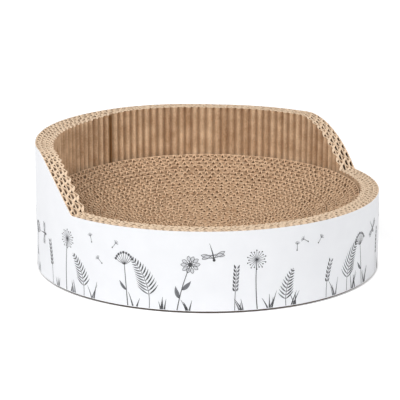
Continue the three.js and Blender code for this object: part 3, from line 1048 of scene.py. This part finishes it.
FLOOR_SIZE = 6.0  # from the middle to each side
FLOOR_WHITE = linear("EDEDED")
GLOW_NEAR, GLOW_FAR = 0.4, 1.6  # from the axis, between which the floor grows to plain white
GLOW_LEAST, GLOW_MOST = 0.55, 1.0
GLOW_IN_PAINTED_SHADOW = 0.2  # glow under the bed: a painted shadow that dims the floor along the foot of the wrap
GLOW_EDGE = 2 * MM  # in which it grows to that of the floor beside
SKY = 0.24  # strength at which the world lights the bed; it is seen at 1


class SCRATCHER_OT_stage(bpy.types.Operator):
    """White floor, soft studio light and the camera"""
    bl_idname = "scratcher.stage"
    bl_label = "Stage"

    def execute(self, context):
        scene = context.scene
        scene.view_settings.view_transform = "Standard"
        self.floor(scene)
        self.world(scene)
        self.lamp(scene, "key_softbox", degrees=(-80, 50), distance=2.2, size=1.0, power=32)
        self.lamp(scene, "fill_softbox", degrees=(15, 38), distance=2.4, size=1.8, power=24)
        self.camera(scene)
        return {"FINISHED"}

    def seen(self, add, strength):
        """A strength, plain or from a node, for rays from the camera or by gloss or glass alone."""
        light = add("ShaderNodeLightPath").outputs
        direct = add(MATH, (light["Is Camera Ray"], light["Is Glossy Ray"]), "MAXIMUM")
        shown = add(MATH, (direct, light["Is Transmission Ray"]), "MAXIMUM")
        return add(MATH, (shown, strength), "MULTIPLY")

    def floor(self, scene):
        """White floor, whiter far off, and dim where it is seen under the wrap, as a painted shadow."""
        size = FLOOR_SIZE
        mesh = bpy.data.meshes.new("floor")
        corners = [(-size, -size, 0), (size, -size, 0), (size, size, 0), (-size, size, 0)]
        mesh.from_pydata(corners, [], [(0, 1, 2, 3)])
        material = bpy.data.materials.new("white_floor")
        material.use_nodes = True
        material.node_tree.nodes.clear()
        add = partial(add_node, material.node_tree)
        paper = add("ShaderNodeBsdfDiffuse", {"Color": FLOOR_WHITE})
        place = add("ShaderNodeTexCoord").outputs["Object"]
        away = add(VECTOR_MATH, (place,), "LENGTH")
        whiter = add(MAP_RANGE, (away, GLOW_NEAR, GLOW_FAR, GLOW_LEAST, GLOW_MOST))
        # Painted shadow: the glow drops under the bed, along the foot of the wrap
        edge = WRAP_INNER + GLOW_EDGE
        beside = add(MAP_RANGE, (away, WRAP_INNER, edge, GLOW_IN_PAINTED_SHADOW, whiter))
        glow = add("ShaderNodeEmission", {"Strength": self.seen(add, beside)})
        both = add("ShaderNodeAddShader", (paper, glow))
        add("ShaderNodeOutputMaterial", {"Surface": both})
        mesh.materials.append(material)
        floor = bpy.data.objects.new("floor", mesh)
        scene.collection.objects.link(floor)

    def world(self, scene):
        """White world that is seen brighter than it lights."""
        world = bpy.data.worlds.new("studio")
        world.use_nodes = True
        world.node_tree.nodes.clear()
        add = partial(add_node, world.node_tree)
        strength = add(MATH, (self.seen(add, 1.0 - SKY), SKY), "ADD")
        light = add("ShaderNodeBackground", {"Color": (1, 1, 1, 1), "Strength": strength})
        add("ShaderNodeOutputWorld", {"Surface": light})
        scene.world = world

    def aim(self, holder, target, direction, distance):
        """Puts a lamp or camera at a distance from a target, at an azimuth and elevation, facing it."""
        azimuth, elevation = direction
        level = math.cos(elevation)
        back = Vector((math.sin(azimuth) * level, -math.cos(azimuth) * level, math.sin(elevation)))
        holder.location = target + back * distance
        holder.rotation_euler = back.to_track_quat("Z", "Y").to_euler()

    def lamp(self, scene, name, degrees, distance, size, power):
        lamp = bpy.data.lights.new(name, "AREA")
        lamp.size = size
        lamp.energy = power
        holder = bpy.data.objects.new(name, lamp)
        self.aim(holder, Vector((0, 0, 0)), [math.radians(a) for a in degrees], distance)
        scene.collection.objects.link(holder)

    def camera(self, scene):
        """Camera at the photograph's angle, aimed a little to the left of the axis, at half height."""
        azimuth = math.radians(-33.4)
        elevation = math.radians(14.79)
        distance = 2.1546
        aside = -0.00902
        height = 0.0755
        camera = bpy.data.cameras.new("photo_view")
        camera.sensor_width = 36
        camera.lens = 161.46
        holder = bpy.data.objects.new("photo_view", camera)
        right = Vector((math.cos(azimuth), math.sin(azimuth), 0))
        target = right * aside + Vector((0, 0, height))
        self.aim(holder, target, (azimuth, elevation), distance)
        scene.collection.objects.link(holder)
        scene.camera = holder


class SCRATCHER_PT_pieces(bpy.types.Panel):
    """Lists the pieces of the bed"""
    bl_idname = "SCRATCHER_PT_pieces"
    bl_label = "Scratcher bed"
    bl_space_type = "VIEW_3D"
    bl_region_type = "UI"
    bl_category = "Scratcher bed"

    def draw(self, context):
        for operator in OPERATORS:
            self.layout.operator(operator.bl_idname)


OPERATORS = (
    SCRATCHER_OT_base_board, SCRATCHER_OT_wall, SCRATCHER_OT_wrap, SCRATCHER_OT_print, SCRATCHER_OT_pad,
    SCRATCHER_OT_stage)
CLASSES = (BedSizes, BedColours, *OPERATORS, SCRATCHER_PT_pieces)


def register():
    for cls in CLASSES:
        bpy.utils.register_class(cls)
    bpy.types.Scene.scratcher_sizes = bpy.props.PointerProperty(type=BedSizes)
    bpy.types.Scene.scratcher_colours = bpy.props.PointerProperty(type=BedColours)


def unregister():
    del bpy.types.Scene.scratcher_colours
    del bpy.types.Scene.scratcher_sizes
    for cls in reversed(CLASSES):
        bpy.utils.unregister_class(cls)


def main():
    register()
    bpy.ops.scratcher.base_board()
    bpy.ops.scratcher.wall()
    bpy.ops.scratcher.wrap()
    bpy.ops.scratcher.print()
    bpy.ops.scratcher.pad()
    bpy.ops.scratcher.stage()


if __name__ == "__main__":
    main()
